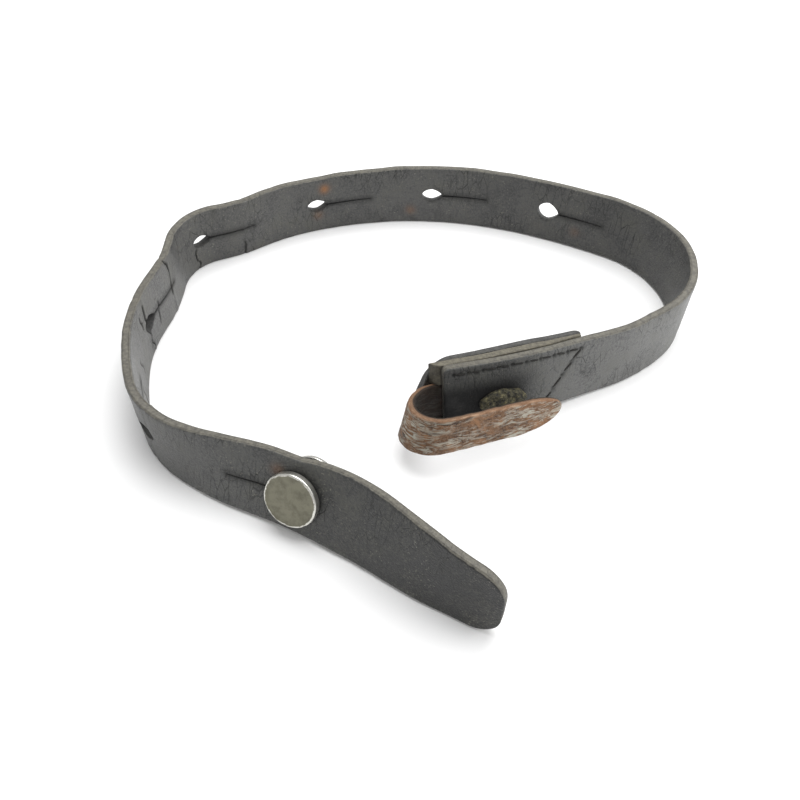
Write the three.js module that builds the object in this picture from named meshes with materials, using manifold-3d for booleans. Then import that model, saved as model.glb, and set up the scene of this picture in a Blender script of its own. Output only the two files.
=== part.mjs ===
// A leather strap with a row of keyholes, a riveted and sewn steel hook at one end, and a loose
// double-headed stud in the last keyhole. The strap stands on its lower edge in an open loop.
// Millimetres, +Z up. The origin is under the middle of the whole object, on the surface it stands on.
import * as THREE from 'three';
import { mergeVertices } from 'three/addons/utils/BufferGeometryUtils.js';
import Module from 'manifold-3d';

const wasm = await Module();
wasm.setup();

// ---- Driving dimensions ----

const gap = 0.3; // clearance between pieces that touch

// The strap
const strapWidth = 22;
const strapThickness = 2.8;
const tailSwell = 3.3; // the tail is this much wider half way between the stud and the tip
const tipCorner = 7.5; // corner radius at the free tip
const rootCorner = 1.6; // corner radius at the hook end
const step = 3.5; // distance between the sections of a bent piece

// How the strap lies: from the hook end on, each bend is [length, turn to the left in degrees].
const firstHeading = 14;
const bends = [
  [36, 13], [18, -3], // the doubled end, set by the stiff plies
  [24, 20], [19, 39], [40, 67], // round the right-hand end of the loop
  [35, 11], [38, 19], [39, 20], // the long far side
  [22, 17], [14, -17], [22, 72], // a kink, and the sharp far left corner
  [19, -17], [24, 23], [22, 14], [23, 34], // the creased left-hand end
  [20, 11], [42, -10], [34, 10], // the near side with the stud, and the tail
];
// How far its top leans outwards, in degrees, at distances along the strap.
const leans = [[0, -15], [62, -4], [123, 10], [185, 7], [247, 0], [308, 0], [370, 2], [432, -25], [491, -5]];

// The keyholes, punched by hand: distance from the hook end to the middle of each hole.
const holeStations = [161, 204, 247, 292, 336, 381, 430];
const holeLength = 7.6;
const holeHeight = 5.2;
const firstHoleHeight = 7; // the hole nearest the hook is the most used, and has worn taller
const slitLength = 20; // from the hole's centre, towards the hook end
const slitMouth = 0.9; // the slit's width where it leaves the hole
const slitEnd = 0.5; // its width at the far end

// The plies behind the strap at the hook end
const liningLength = 45;
const liningThickness = 2.4;
const liningCorner = 9.5; // corner radius of its end over the hook's bend
const liningWrap = 20; // degrees that it follows round the bend
const skiveEdge = 1.1; // the filler thins from the hook's shank on, down to this at its end

// The hook
const hookWidth = 11;
const hookThickness = 2.2;
const hookHeight = 9.5; // its middle, above the strap's lower edge
const shankLength = 30; // hidden between the plies
const mouthWidth = 15; // from the strap's middle to the tongue's middle, at the bend
const mouthAtTip = 12; // and at the tongue's tip
const bendStart = 1.5; // the bend begins this far outside the strap's end
const bendFlare = 3.5; // its lower edge stands this much further out
const tonguePast = 30; // the tip's distance along the strap
const tongueRound = 12; // length of the rounded tip
const bendSections = 14; // flats round the bend

// The rivet and its burr
const rivetStation = 17.5;
const rivetHeight = 7.8;
const rivetRadius = 1.9;
const rivetHead = [7.3, 4.4, 2.2]; // half length, half width and height of the hammered oval head
const rivetTail = 1; // height of the closed end, behind the burr
const burrRadius = 4.8;
const burrThickness = 1;

// The seam, as corners of [distance along the strap, height], and its thread
const seamInset = 2.6;
const seamCorners = [
  [3, strapWidth - seamInset], [43, strapWidth - seamInset], [shankLength + 1.8, seamInset], [3, seamInset],
];
const stitchPitch = 4.6;
const threadWidth = 0.7;

// The stud
const studHeadRadius = 7.8;
const studRest = 0.9; // its front head stands this far off the twisted leather
const studLength = 13.3; // from its face to the back of its back head
const capWall = 0.4;
const capDish = 0.2; // the face lies this much below its rim
const capLip = 0.4; // the rolled lip under the plate
const plateThickness = 0.6;
const neckRadius = 2;
const boreRadius = 1.25;
const backThickness = 1.5;

// ---- How the strap lies ----

const rad = THREE.MathUtils.degToRad;
const { lerp, clamp, smoothstep } = THREE.MathUtils;

// Start point and heading of each arc of the centre line.
const arcs = [];
let along = 0;
let heading = rad(firstHeading);
const pen = new THREE.Vector2(0, 0);
for (const [length, turn] of bends) {
  const arc = { from: along, length, heading, curvature: rad(turn) / length, x: pen.x, y: pen.y };
  arcs.push(arc);
  const end = pointOnArc(arc, length);
  pen.set(end.x, end.y);
  heading = end.heading;
  along += length;
}
const strapLength = along;

function pointOnArc(arc, distance) {
  const end = arc.heading + arc.curvature * distance;
  const radius = 1 / arc.curvature;
  return {
    x: arc.x + (Math.sin(end) - Math.sin(arc.heading)) * radius,
    y: arc.y + (Math.cos(arc.heading) - Math.cos(end)) * radius,
    heading: end,
  };
}

// The lean at a distance along the strap, eased from one stated value to the next.
function leanAt(s) {
  const passed = leans.findLastIndex(([station]) => station <= Math.max(s, 0));
  const [a, leanA] = leans[passed];
  const [b, leanB] = leans[Math.min(passed + 1, leans.length - 1)];
  return rad(lerp(leanA, leanB, smoothstep(s, a, b)));
}

// How far the piece reaches inwards, which is what it stands on where it leans that way.
function depthAt(s) {
  const plies = strapThickness / 2 + 2 * gap + hookThickness + liningThickness;
  return lerp(plies, strapThickness / 2, smoothstep(s, liningLength - 5, liningLength + 15));
}

// The strap's frame at a distance along it: its tangent, its outward normal and its up direction.
function frameAt(s) {
  const arc = arcs.findLast(({ from }) => from <= Math.max(s, 0));
  const inside = clamp(s, 0, strapLength);
  const point = pointOnArc(arc, inside - arc.from);
  const tangent = new THREE.Vector3(Math.cos(point.heading), Math.sin(point.heading), 0);
  const level = new THREE.Vector3(tangent.y, -tangent.x, 0);
  const vertical = new THREE.Vector3(0, 0, 1);
  const lean = leanAt(s);
  const up = vertical.clone().multiplyScalar(Math.cos(lean)).addScaledVector(level, Math.sin(lean));
  const normal = level.clone().multiplyScalar(Math.cos(lean)).addScaledVector(vertical, -Math.sin(lean));
  const lift = Math.abs(Math.sin(lean)) * (lean < 0 ? depthAt(s) : strapThickness / 2);
  const origin = new THREE.Vector3(point.x, point.y, lift);
  origin.addScaledVector(tangent, s - inside);
  return { origin, tangent, normal, up };
}

// A point from its distance along the strap, its offset outwards and its height.
function place(s, offset, height) {
  const { origin, normal, up } = frameAt(s);
  return origin.addScaledVector(normal, offset).addScaledVector(up, height);
}

// A matrix whose x runs along the strap, y up and z outwards, at a point on the strap.
function standing(s, offset, height) {
  const { tangent, normal, up } = frameAt(s);
  return new THREE.Matrix4().makeBasis(tangent, up, normal).setPosition(place(s, offset, height));
}

// ---- Solids ----

function weld(geometry) {
  const bare = geometry.clone();
  bare.deleteAttribute('normal');
  bare.deleteAttribute('uv');
  return mergeVertices(bare, 1e-4);
}

function solid(geometry) {
  const welded = weld(geometry);
  return new wasm.Manifold(new wasm.Mesh({
    numProp: 3,
    vertProperties: new Float32Array(welded.attributes.position.array),
    triVerts: new Uint32Array(welded.index.array),
  }));
}

function geometryOf(manifold) {
  const mesh = manifold.getMesh();
  const geometry = new THREE.BufferGeometry();
  geometry.setAttribute('position', new THREE.BufferAttribute(new Float32Array(mesh.vertProperties), 3));
  geometry.setIndex(new THREE.BufferAttribute(new Uint32Array(mesh.triVerts), 1));
  geometry.computeVertexNormals();
  return geometry;
}

function cut(geometry, cutters) {
  return geometryOf(cutters.reduce((body, cutter) => body.subtract(solid(cutter)), solid(geometry)));
}

function join(geometries) {
  return geometryOf(geometries.map(solid).reduce((body, piece) => body.add(piece)));
}

// A box whose corners are moved: point(i, y, z) gives the place of section i, with y and z from 0 to 1.
function bentBox(sections, rows, point) {
  const geometry = new THREE.BoxGeometry(sections, 1, 1, sections, 1, rows);
  const { position } = geometry.attributes;
  for (let v = 0; v < position.count; v++) {
    const section = Math.round(position.getX(v) + sections / 2);
    const target = point(section, position.getY(v) + 0.5, position.getZ(v) + 0.5);
    position.setXYZ(v, target.x, target.y, target.z);
  }
  return geometry;
}

// A piece that follows the strap. Its faces are given as offsets and heights at each station. The
// box's y runs from the front face to the back one, which keeps the faces turned outwards.
function ribbon(stations, { back, front, low, high }) {
  return bentBox(stations.length - 1, 1, (i, y, z) => {
    const s = stations[i];
    return place(s, lerp(front(s), back(s), y), lerp(low(s), high(s), z));
  });
}

function stationsBetween(from, to, spacing = step) {
  const count = Math.max(1, Math.ceil((to - from) / spacing));
  return Array.from({ length: count + 1 }, (_, i) => lerp(from, to, i / count));
}

// How far a corner of the given radius draws the edge in, at a distance from the end.
function cornerInset(distance, radius) {
  const inside = clamp(radius - distance, 0, radius);
  return radius - Math.sqrt(radius ** 2 - inside ** 2);
}

// Stations that crowd together over a rounded corner, from the end inwards.
function cornerStations(radius) {
  return [0, 20, 40, 60, 75].map((angle) => radius * (1 - Math.cos(rad(angle))));
}

// A prism that stands on the strap: a shape drawn along and up, from one offset to another.
function prism(shape, s, height, from, to) {
  const options = { depth: to - from, bevelEnabled: false, curveSegments: 8 };
  return new THREE.ExtrudeGeometry(shape, options).applyMatrix4(standing(s, from, height));
}

function disc(radius) {
  return new THREE.Shape().absarc(0, 0, radius, 0, 2 * Math.PI);
}

// ---- The strap ----

const strapFront = strapThickness / 2;
const strapBack = -strapThickness / 2;
const studStation = holeStations.at(-1);
const swellStation = (studStation + strapLength) / 2;

// The tail's extra width, which rises from the stud and falls to the tip.
function swell(s) {
  const length = strapLength - studStation;
  return tailSwell * Math.max(0, 1 - (2 * (s - swellStation) / length) ** 2);
}

function edgeInset(s) {
  return cornerInset(s, rootCorner) + cornerInset(strapLength - s, tipCorner);
}

function keyholeCutters(station) {
  const reach = strapThickness;
  const height = station === holeStations[0] ? firstHoleHeight : holeHeight;
  const hole = new THREE.Shape().absellipse(0, 0, holeLength / 2, height / 2, 0, 2 * Math.PI);
  const start = station - slitLength;
  const halfSlit = (s) => lerp(slitEnd, slitMouth, smoothstep(s, start, station)) / 2;
  const slit = ribbon(stationsBetween(start, station), {
    back: () => -reach,
    front: () => reach,
    low: (s) => strapWidth / 2 - halfSlit(s),
    high: (s) => strapWidth / 2 + halfSlit(s),
  });
  return [slit, prism(hole, station, strapWidth / 2, -reach, reach)];
}

// ---- The layers at the hook end ----

const fillerFront = strapBack - gap;
const fillerThickness = hookThickness;
const fillerEnd = liningLength - 2;

function fillerBack(s) {
  return fillerFront - lerp(fillerThickness, skiveEdge, smoothstep(s, shankLength + 1, fillerEnd));
}

const hookLow = hookHeight - hookWidth / 2;
const hookHigh = hookHeight + hookWidth / 2;
const shankOffset = fillerFront - hookThickness / 2;
const bendRadius = (mouthWidth - shankOffset) / 2;
const bendMiddle = shankOffset + bendRadius;

// The hook's middle line: part 0 to 1 is the shank, 1 to 2 the bend, 2 to 3 the tongue. rise is 0 at
// the lower edge and 1 at the upper. The normal points out of the J.
function hookLine(part, rise, shankStart) {
  const centre = -bendStart - bendFlare * (1 - clamp(rise, 0, 1));
  if (part <= 1) {
    return { s: lerp(shankStart, centre, part), offset: shankOffset, normal: [0, -1] };
  }
  if (part <= 2) {
    const angle = (part - 1) * Math.PI;
    const normal = [-Math.sin(angle), -Math.cos(angle)];
    return { s: centre + bendRadius * normal[0], offset: bendMiddle + bendRadius * normal[1], normal };
  }
  const run = new THREE.Vector2(tonguePast - centre, mouthAtTip - mouthWidth);
  const normal = [-run.y / run.length(), run.x / run.length()];
  return { s: centre + run.x * (part - 2), offset: mouthWidth + run.y * (part - 2), normal };
}

// A point beside the hook's middle line, this far out of the J.
function besideHook(part, rise, out, height, shankStart) {
  const { s, offset, normal } = hookLine(part, rise, shankStart);
  return place(s + normal[0] * out, offset + normal[1] * out, height);
}

function hookGeometry() {
  const shank = stationsBetween(0, 0.97, 0.1);
  const bend = stationsBetween(1, 2, 1 / bendSections);
  const tongue = stationsBetween(2.1, 2.6, 0.1);
  const rounding = stationsBetween(0, 80, 20).map((angle) => {
    return 3 - (tongueRound / tonguePast) * (1 - Math.sin(rad(angle)));
  });
  const parts = [...shank, ...bend, ...tongue, ...rounding];
  return bentBox(parts.length - 1, 4, (i, y, z) => {
    const left = ((3 - parts[i]) * tonguePast) / tongueRound;
    const inset = (hookWidth / 2) * (1 - Math.sqrt(1 - clamp(1 - left, 0, 1) ** 2));
    const height = lerp(hookLow + inset, hookHigh - inset * 0.8, z);
    const rise = (height - hookLow) / hookWidth;
    return besideHook(parts[i], rise, (0.5 - y) * hookThickness, height, shankLength);
  });
}

function liningGeometry() {
  const straight = stationsBetween(0, 1, step / liningLength);
  const bent = stationsBetween(1, 1 + liningWrap / 180, liningWrap / 180 / 5).slice(1);
  const parts = [...straight, ...bent];
  const wrapLength = rad(liningWrap) * (bendRadius + hookThickness / 2);
  return bentBox(parts.length - 1, 4, (i, y, z) => {
    const part = parts[i];
    const rise = (z * strapWidth - hookLow) / hookWidth;
    const s = part <= 1 ? hookLine(part, rise, liningLength).s : -bendStart;
    const wrapped = clamp(((part - 1) * 180) / liningWrap, 0, 1);
    const toEnd = wrapLength * (1 - wrapped) + Math.max(0, 1 - part) * liningLength;
    const inset = Math.min(cornerInset(toEnd, liningCorner), strapWidth / 2 - 2);
    const height = lerp(inset, strapWidth - inset, z);
    const front = shankOffset - fillerBack(s) + gap;
    return besideHook(part, rise, front + (1 - y) * liningThickness, height, liningLength);
  });
}

// ---- The seam ----

// Points every stitchPitch along the seam.
function seamPoints() {
  const corners = seamCorners.map(([s, height]) => new THREE.Vector2(s, height));
  const points = [corners[0]];
  for (let i = 1; i < corners.length; i++) {
    const count = Math.max(1, Math.round(corners[i].distanceTo(corners[i - 1]) / stitchPitch));
    for (let k = 1; k <= count; k++) {
      points.push(corners[i - 1].clone().lerp(corners[i], k / count));
    }
  }
  return points;
}
const seam = seamPoints();

function liningBack(s) {
  return fillerBack(s) - gap - liningThickness;
}

// A square hole or post through all the plies at a seam point.
function seamPost(point, halfWidth, reach) {
  const offsets = (y) => lerp(strapFront + reach, liningBack(point.x) - reach, y);
  return bentBox(1, 1, (i, y, z) => {
    return place(point.x + (i - 0.5) * 2 * halfWidth, offsets(y), point.y + (z - 0.5) * 2 * halfWidth);
  });
}

// A stitch that lies on a face between two seam points.
function stitch(a, b, offsetAt) {
  const run = b.clone().sub(a).normalize();
  const side = new THREE.Vector2(-run.y, run.x);
  return bentBox(2, 1, (i, y, z) => {
    const reach = (i - 1) * (threadWidth / 2);
    const at = a.clone().lerp(b, i / 2).addScaledVector(run, reach);
    at.addScaledVector(side, (z - 0.5) * threadWidth);
    return place(at.x, offsetAt(at.x) + (0.5 - y) * threadWidth, at.y);
  });
}

function threadGeometry() {
  const lift = gap + threadWidth / 2;
  const pieces = seam.map((point) => seamPost(point, threadWidth * 0.4, lift));
  for (let i = 1; i < seam.length; i++) {
    pieces.push(stitch(seam[i - 1], seam[i], () => strapFront + lift));
    pieces.push(stitch(seam[i - 1], seam[i], (s) => liningBack(s) - lift));
  }
  return join(pieces);
}

const seamHoles = seam.map((point) => seamPost(point, threadWidth / 2 + gap, 3));

// ---- The pieces at the hook end ----

// A hole for the rivet, from one offset to another.
const pliesDepth = -2 * (strapThickness + hookThickness + liningThickness); // well behind them all

function rivetHole(from, to) {
  return prism(disc(rivetRadius + gap), rivetStation, rivetHeight, from, to);
}

function strapGeometry() {
  const stations = [
    ...cornerStations(rootCorner),
    ...stationsBetween(rootCorner, strapLength - tipCorner),
    ...cornerStations(tipCorner).map((s) => strapLength - s).reverse(),
  ];
  const body = ribbon(stations, {
    back: () => strapBack,
    front: () => strapFront,
    low: edgeInset,
    high: (s) => strapWidth + swell(s) - edgeInset(s),
  });
  const forRivet = rivetHole(-strapThickness, strapThickness);
  return cut(body, [...holeStations.flatMap(keyholeCutters), ...seamHoles, forRivet]);
}

function fillerGeometry() {
  const body = ribbon(stationsBetween(0, fillerEnd), {
    back: fillerBack,
    front: () => fillerFront,
    low: () => 0,
    high: () => strapWidth,
  });
  const pocket = ribbon(stationsBetween(-1, shankLength + gap), {
    back: () => fillerFront - 2 * fillerThickness,
    front: () => 0,
    low: () => hookLow - gap,
    high: () => hookHigh + gap,
  });
  return cut(body, [pocket, ...seamHoles]);
}

function rivetGeometry() {
  const [halfLength, halfWidth, height] = rivetHead;
  const dome = [[0, 0], [1, 0], [0.97, 0.35], [0.82, 0.7], [0.5, 0.93], [0, 1]];
  const head = new THREE.LatheGeometry(dome.map(([r, h]) => new THREE.Vector2(r, h)), 20);
  head.rotateX(Math.PI / 2).scale(halfLength, halfWidth, height);
  head.applyMatrix4(standing(rivetStation, strapFront + gap, rivetHeight));
  const tailTop = liningBack(rivetStation) - 2 * gap - burrThickness;
  const tailEnd = tailTop - rivetTail;
  const shaft = prism(disc(rivetRadius), rivetStation, rivetHeight, tailEnd, strapFront + 1);
  const tail = prism(disc(rivetRadius * 1.5), rivetStation, rivetHeight, tailEnd, tailTop);
  return join([head, shaft, tail]);
}

function burrGeometry() {
  const ring = disc(burrRadius);
  ring.holes.push(new THREE.Path().absarc(0, 0, rivetRadius + gap, 0, 2 * Math.PI));
  const back = liningBack(rivetStation) - gap;
  return prism(ring, rivetStation, rivetHeight, back - burrThickness, back);
}

// ---- The stud, turned about its own axis, with the leather's front face at height 0 ----

const capBottom = studRest;
const plateBottom = capBottom + capLip + gap;
const faceHeight = plateBottom + plateThickness + gap + capWall + capDish;
const backOuter = faceHeight - studLength;
const backInner = backOuter + backThickness;
const plateRadius = studHeadRadius - capWall - gap;
const lipRadius = studHeadRadius - 2.6; // inner radius of the rolled lip

function turned(profile) {
  const points = profile.map(([r, h]) => new THREE.Vector2(r, h));
  return new THREE.LatheGeometry(points, 32).rotateX(Math.PI / 2);
}

function capProfile() {
  const inner = plateBottom + plateThickness + gap;
  const r = studHeadRadius;
  return [
    [0, inner], [r - capWall, inner], [r - capWall, capBottom + capLip],
    [lipRadius, capBottom + capLip], [lipRadius, capBottom], [r - 0.4, capBottom],
    [r, capBottom + 0.5], [r, faceHeight - 0.6], [r - 0.25, faceHeight - 0.15], [r - 0.6, faceHeight],
    [r - 0.9, faceHeight - 0.1], [r - 1.2, faceHeight - capDish], [0, faceHeight - capDish],
  ];
}

function baseProfile() {
  const bottom = backInner + gap;
  const top = plateBottom + plateThickness;
  return [
    [boreRadius, bottom], [neckRadius, bottom], [neckRadius, plateBottom], [plateRadius, plateBottom],
    [plateRadius, top], [boreRadius, top], [boreRadius, bottom],
  ];
}

function backProfile() {
  const pin = boreRadius - gap;
  const pinEnd = plateBottom + plateThickness - 0.2;
  const r = studHeadRadius - 0.2;
  return [
    [0, backOuter + 0.6], [r - 1.6, backOuter + 0.4], [r - 0.9, backOuter], [r - 0.3, backOuter + 0.1],
    [r, backOuter + 0.5], [r, backInner - 0.3], [r - 0.3, backInner], [pin, backInner],
    [pin, pinEnd], [0, pinEnd],
  ];
}

// ---- Materials ----

function leather(color, roughness) {
  return new THREE.MeshStandardMaterial({ color, roughness, metalness: 0 });
}

const strapLeather = leather(0x45453f, 0.55);
const liningLeather = leather(0x3a3a38, 0.6);
const fillerLeather = leather(0x5a5648, 0.7);
const rustySteel = new THREE.MeshStandardMaterial({ color: 0x7a5238, roughness: 0.85, metalness: 0.4 });
const dullRivet = new THREE.MeshStandardMaterial({ color: 0x4a4636, roughness: 0.9, metalness: 0.5 });
const oldThread = new THREE.MeshStandardMaterial({ color: 0x2a2826, roughness: 0.9, metalness: 0 });
const wornNickel = new THREE.MeshStandardMaterial({ color: 0x8a887c, roughness: 0.45, metalness: 0.8 });
const paleSteel = new THREE.MeshStandardMaterial({ color: 0xb8b8b4, roughness: 0.35, metalness: 0.9 });

// ---- Assembly ----

function piece(name, geometry, material) {
  const mesh = new THREE.Mesh(geometry, material);
  mesh.name = name;
  return mesh;
}

const object = new THREE.Group();
object.add(
  piece('strap', strapGeometry(), strapLeather),
  piece('filler_ply', fillerGeometry(), fillerLeather),
  piece('lining_ply', cut(liningGeometry(), [...seamHoles, rivetHole(pliesDepth, 0)]), liningLeather),
  piece('hook', cut(hookGeometry(), [rivetHole(pliesDepth, 0)]), rustySteel),
  piece('hook_rivet', rivetGeometry(), dullRivet),
  piece('rivet_burr', burrGeometry(), dullRivet),
  piece('stitching', threadGeometry(), oldThread),
);

const stud = new THREE.Group();
stud.applyMatrix4(standing(studStation, strapFront, strapWidth / 2));
stud.add(
  piece('stud_cap', turned(capProfile()), wornNickel),
  piece('stud_base', turned(baseProfile()), paleSteel),
  piece('stud_back', turned(backProfile()), paleSteel),
);
object.add(stud);

// Move the origin under the middle of the whole object.
object.updateMatrixWorld(true);
const box = new THREE.Box3().setFromObject(object, true);
const middle = box.getCenter(new THREE.Vector3());
object.position.set(-middle.x, -middle.y, -box.min.z);

export default object;
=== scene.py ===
# %% [markdown]
# # A hook-and-stud leather strap
# The real object is one strip of old bridle leather, punched with a row of keyholes. A steel hook is
# riveted and sewn between its plies at one end, and a loose double-headed stud sits in the last
# keyhole. It stands on its lower edge in an open loop. Every piece here is a surface worked out with
# numpy on one bent path, so that leather, hook, thread and stud all stay where the frame has them.

# %% Load the frame
import math

import bmesh
import bpy
import numpy as np
from mathutils import Matrix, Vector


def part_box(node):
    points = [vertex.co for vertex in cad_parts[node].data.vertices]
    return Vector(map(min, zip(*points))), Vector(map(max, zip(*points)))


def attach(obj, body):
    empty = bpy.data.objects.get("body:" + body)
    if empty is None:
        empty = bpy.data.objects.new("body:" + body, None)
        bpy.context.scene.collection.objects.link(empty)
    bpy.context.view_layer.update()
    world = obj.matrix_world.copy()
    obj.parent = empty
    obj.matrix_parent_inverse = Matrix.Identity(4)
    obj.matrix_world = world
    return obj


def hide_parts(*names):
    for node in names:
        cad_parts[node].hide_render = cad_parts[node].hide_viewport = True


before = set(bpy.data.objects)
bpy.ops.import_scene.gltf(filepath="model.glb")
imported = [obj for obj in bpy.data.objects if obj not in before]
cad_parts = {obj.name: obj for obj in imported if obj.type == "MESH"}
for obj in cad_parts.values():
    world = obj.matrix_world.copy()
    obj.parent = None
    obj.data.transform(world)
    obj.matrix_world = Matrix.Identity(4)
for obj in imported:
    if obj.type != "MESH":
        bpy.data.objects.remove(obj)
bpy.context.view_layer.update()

mm = 0.001

# %% [markdown]
# ## The path
# A strap on its edge is a flat strip whose middle line bends only sideways. The line could be a
# Bezier curve, but arcs keep its true length, which matters for keyholes that are punched at even
# steps. Each bend below is a length and a turn, and between stated distances the strap also leans.

# %% How the strap lies
strap_width = 22 * mm
strap_thickness = 2.8 * mm
first_heading = math.radians(14)
bends = np.array([
    (36, 13), (18, -3), (24, 20), (19, 39), (40, 67), (35, 11), (38, 19), (39, 20), (22, 17),
    (14, -17), (22, 72), (19, -17), (24, 23), (22, 14), (23, 34), (20, 11), (42, -10), (34, 10),
])
leans = np.array([
    (0, -15), (62, -4), (123, 10), (185, 7), (247, 0), (308, 0), (370, 2), (432, -25), (491, -5)])
lengths, turns = bends[:, 0] * mm, np.radians(bends[:, 1])
starts = np.concatenate([[0], np.cumsum(lengths)])
headings = first_heading + np.concatenate([[0], np.cumsum(turns)])
strap_length = starts[-1]
print(f"the strap is {strap_length / mm:.0f} mm long, in {len(bends)} bends")


def ease(x, low, high):
    """0 below low, 1 above high, and between them three times the square less twice the cube."""
    x = np.clip((x - low) / (high - low), 0, 1)
    return x * x * (3 - 2 * x)


# %% Walk along the path
curvatures = turns / lengths
chords = np.stack([
    (np.sin(headings[1:]) - np.sin(headings[:-1])) / curvatures,
    (np.cos(headings[:-1]) - np.cos(headings[1:])) / curvatures,
], axis=1)
corners = np.concatenate([[(0, 0)], np.cumsum(chords, axis=0)])


def middle_line(s):
    """Points and headings at distances s: each arc's start, plus its radius times the change of the
    heading's sine and cosine. Past either end the line runs straight on."""
    inside = np.clip(s, 0, strap_length)
    arc = np.clip(np.searchsorted(starts, inside, side="right") - 1, 0, len(lengths) - 1)
    heading = headings[arc] + curvatures[arc] * (inside - starts[arc])
    x = corners[arc, 0] + (np.sin(heading) - np.sin(headings[arc])) / curvatures[arc]
    y = corners[arc, 1] + (np.cos(headings[arc]) - np.cos(heading)) / curvatures[arc]
    beyond = s - inside
    return x + beyond * np.cos(heading), y + beyond * np.sin(heading), heading


def lean_at(s):
    """The lean in radians, eased from each stated value to the next."""
    stations = leans[:, 0] * mm
    at = np.clip(np.searchsorted(stations, s, side="right") - 1, 0, len(leans) - 2)
    share = ease(s, stations[at], stations[at + 1])
    return np.radians(leans[at, 1] + (leans[at + 1, 1] - leans[at, 1]) * share)


# %% [markdown]
# ## From flat leather to the bent strap
# Every piece is drawn as if the leather lay flat: a distance along it, an offset outwards from its
# middle layer, and a height above its lower edge. One function then carries such points onto the
# bent, leaning strap. Where the strap leans, it is lifted by what its corner would dip.

# %% Carry points onto the strap
clearance = 0.3 * mm
hook_thickness = 2.2 * mm
lining_length = 45 * mm
lining_thickness = 2.4 * mm


def on_path(s, offset, height):
    """Middle line, plus offset times the outward normal, plus height times the leaning up direction.
    The outward normal is the heading turned a quarter right, tipped by the lean."""
    s, offset, height = np.broadcast_arrays(s, offset, height)
    x, y, heading = middle_line(s)
    lean = lean_at(s)
    plies = strap_thickness / 2 + 2 * clearance + hook_thickness + lining_thickness
    depth = plies + (strap_thickness / 2 - plies) * ease(s, lining_length - 5 * mm, lining_length + 15 * mm)
    lift = np.abs(np.sin(lean)) * np.where(lean < 0, depth, strap_thickness / 2)
    out = offset * np.cos(lean) + height * np.sin(lean)
    z = lift + height * np.cos(lean) - offset * np.sin(lean)
    return np.stack([x + out * np.sin(heading), y - out * np.cos(heading), z], axis=-1)


edge_line = on_path(np.linspace(0, strap_length, 2000)[:, None, None],
                    strap_thickness / 2 * np.array([-1, 1])[None, :, None],
                    strap_width * np.array([0, 1])[None, None, :]).reshape(-1, 3)
box_low, box_high = (np.array(corner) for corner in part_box("strap"))
start = np.array([box_low[0] - edge_line[:, 0].min(), box_high[1] - edge_line[:, 1].max(), 0])
print("the strap starts at", np.round(start / mm, 2), "mm")


def place(s, offset, height):
    """The same point, moved to where the frame has the strap."""
    return on_path(s, offset, height) + start


# %% [markdown]
# ## Meshes from grids
# A grid of points becomes a mesh in one call when its faces are worked out as whole arrays too. Two
# sheets of one strip often share a line, such as the lip of a slit, so doubles are merged before the
# normals are turned outwards. Attributes made here tell the materials where the edges are.

# %% Mesh helpers
def grid_faces(rows, columns, wrap=False):
    """Quads between neighbouring points of a grid that is stored row by row."""
    index = np.arange(rows * columns).reshape(rows, columns)
    if wrap:
        index = np.concatenate([index, index[:, :1]], axis=1)
    return np.stack([index[:-1, :-1], index[1:, :-1], index[1:, 1:], index[:-1, 1:]], axis=-1).reshape(-1, 4)


def make_piece(name, points, faces, attributes=None, body="strap_body", replaces=(), slot=None, merge=1e-7):
    """A mesh object from points and faces, merged, turned outwards and shaded smooth."""
    mesh = bpy.data.meshes.new(name)
    mesh.from_pydata(points.reshape(-1, 3), [], [[v for v in face if v >= 0] for face in faces.tolist()])
    for key, values in (attributes or {}).items():
        kind = "FLOAT_VECTOR" if values.ndim > 1 and values.shape[-1] == 3 else "FLOAT"
        layer = mesh.attributes.new(key, kind, "POINT")
        field = "vector" if kind == "FLOAT_VECTOR" else "value"
        layer.data.foreach_set(field, np.ascontiguousarray(values, dtype=np.float32).ravel())
    work = bmesh.new()
    work.from_mesh(mesh)
    bmesh.ops.remove_doubles(work, verts=work.verts, dist=merge)
    bmesh.ops.dissolve_degenerate(work, edges=work.edges, dist=merge)
    bmesh.ops.recalc_face_normals(work, faces=work.faces)
    open_edges = sum(1 for edge in work.edges if len(edge.link_faces) != 2)
    work.to_mesh(mesh)
    work.free()
    mesh.shade_smooth()
    piece = bpy.data.objects.new(name, mesh)
    bpy.context.scene.collection.objects.link(piece)
    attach(piece, body)
    if replaces:
        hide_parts(*replaces)
    print(f"{name}: {len(mesh.polygons)} faces, {open_edges} open edges")
    return piece


# %% Smooth random bumps
def lumps(x, y, size, seed):
    """Random heights on a square lattice, eased between its corners, from -1 to 1."""
    table = np.random.default_rng(seed).uniform(-1, 1, (97, 97))
    u, v = x / size, y / size
    i, j = np.floor(u).astype(int), np.floor(v).astype(int)
    a, b = ease(u - i, 0, 1), ease(v - j, 0, 1)
    near = table[i % 97, j % 97] * (1 - a) + table[(i + 1) % 97, j % 97] * a
    far = table[i % 97, (j + 1) % 97] * (1 - a) + table[(i + 1) % 97, (j + 1) % 97] * a
    return near * (1 - b) + far * b


# %% [markdown]
# ## A strip with rounded edges
# Leather is cut square and then its edges are rounded off and burnished. Each cross-section is two
# open chains, one below and one above a middle height, and each runs from the front face round the
# outer edge to the back. A slit or pocket opens by pulling the two chains apart, so a keyhole needs
# no boolean cut and the mesh stays in even rows.

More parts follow.
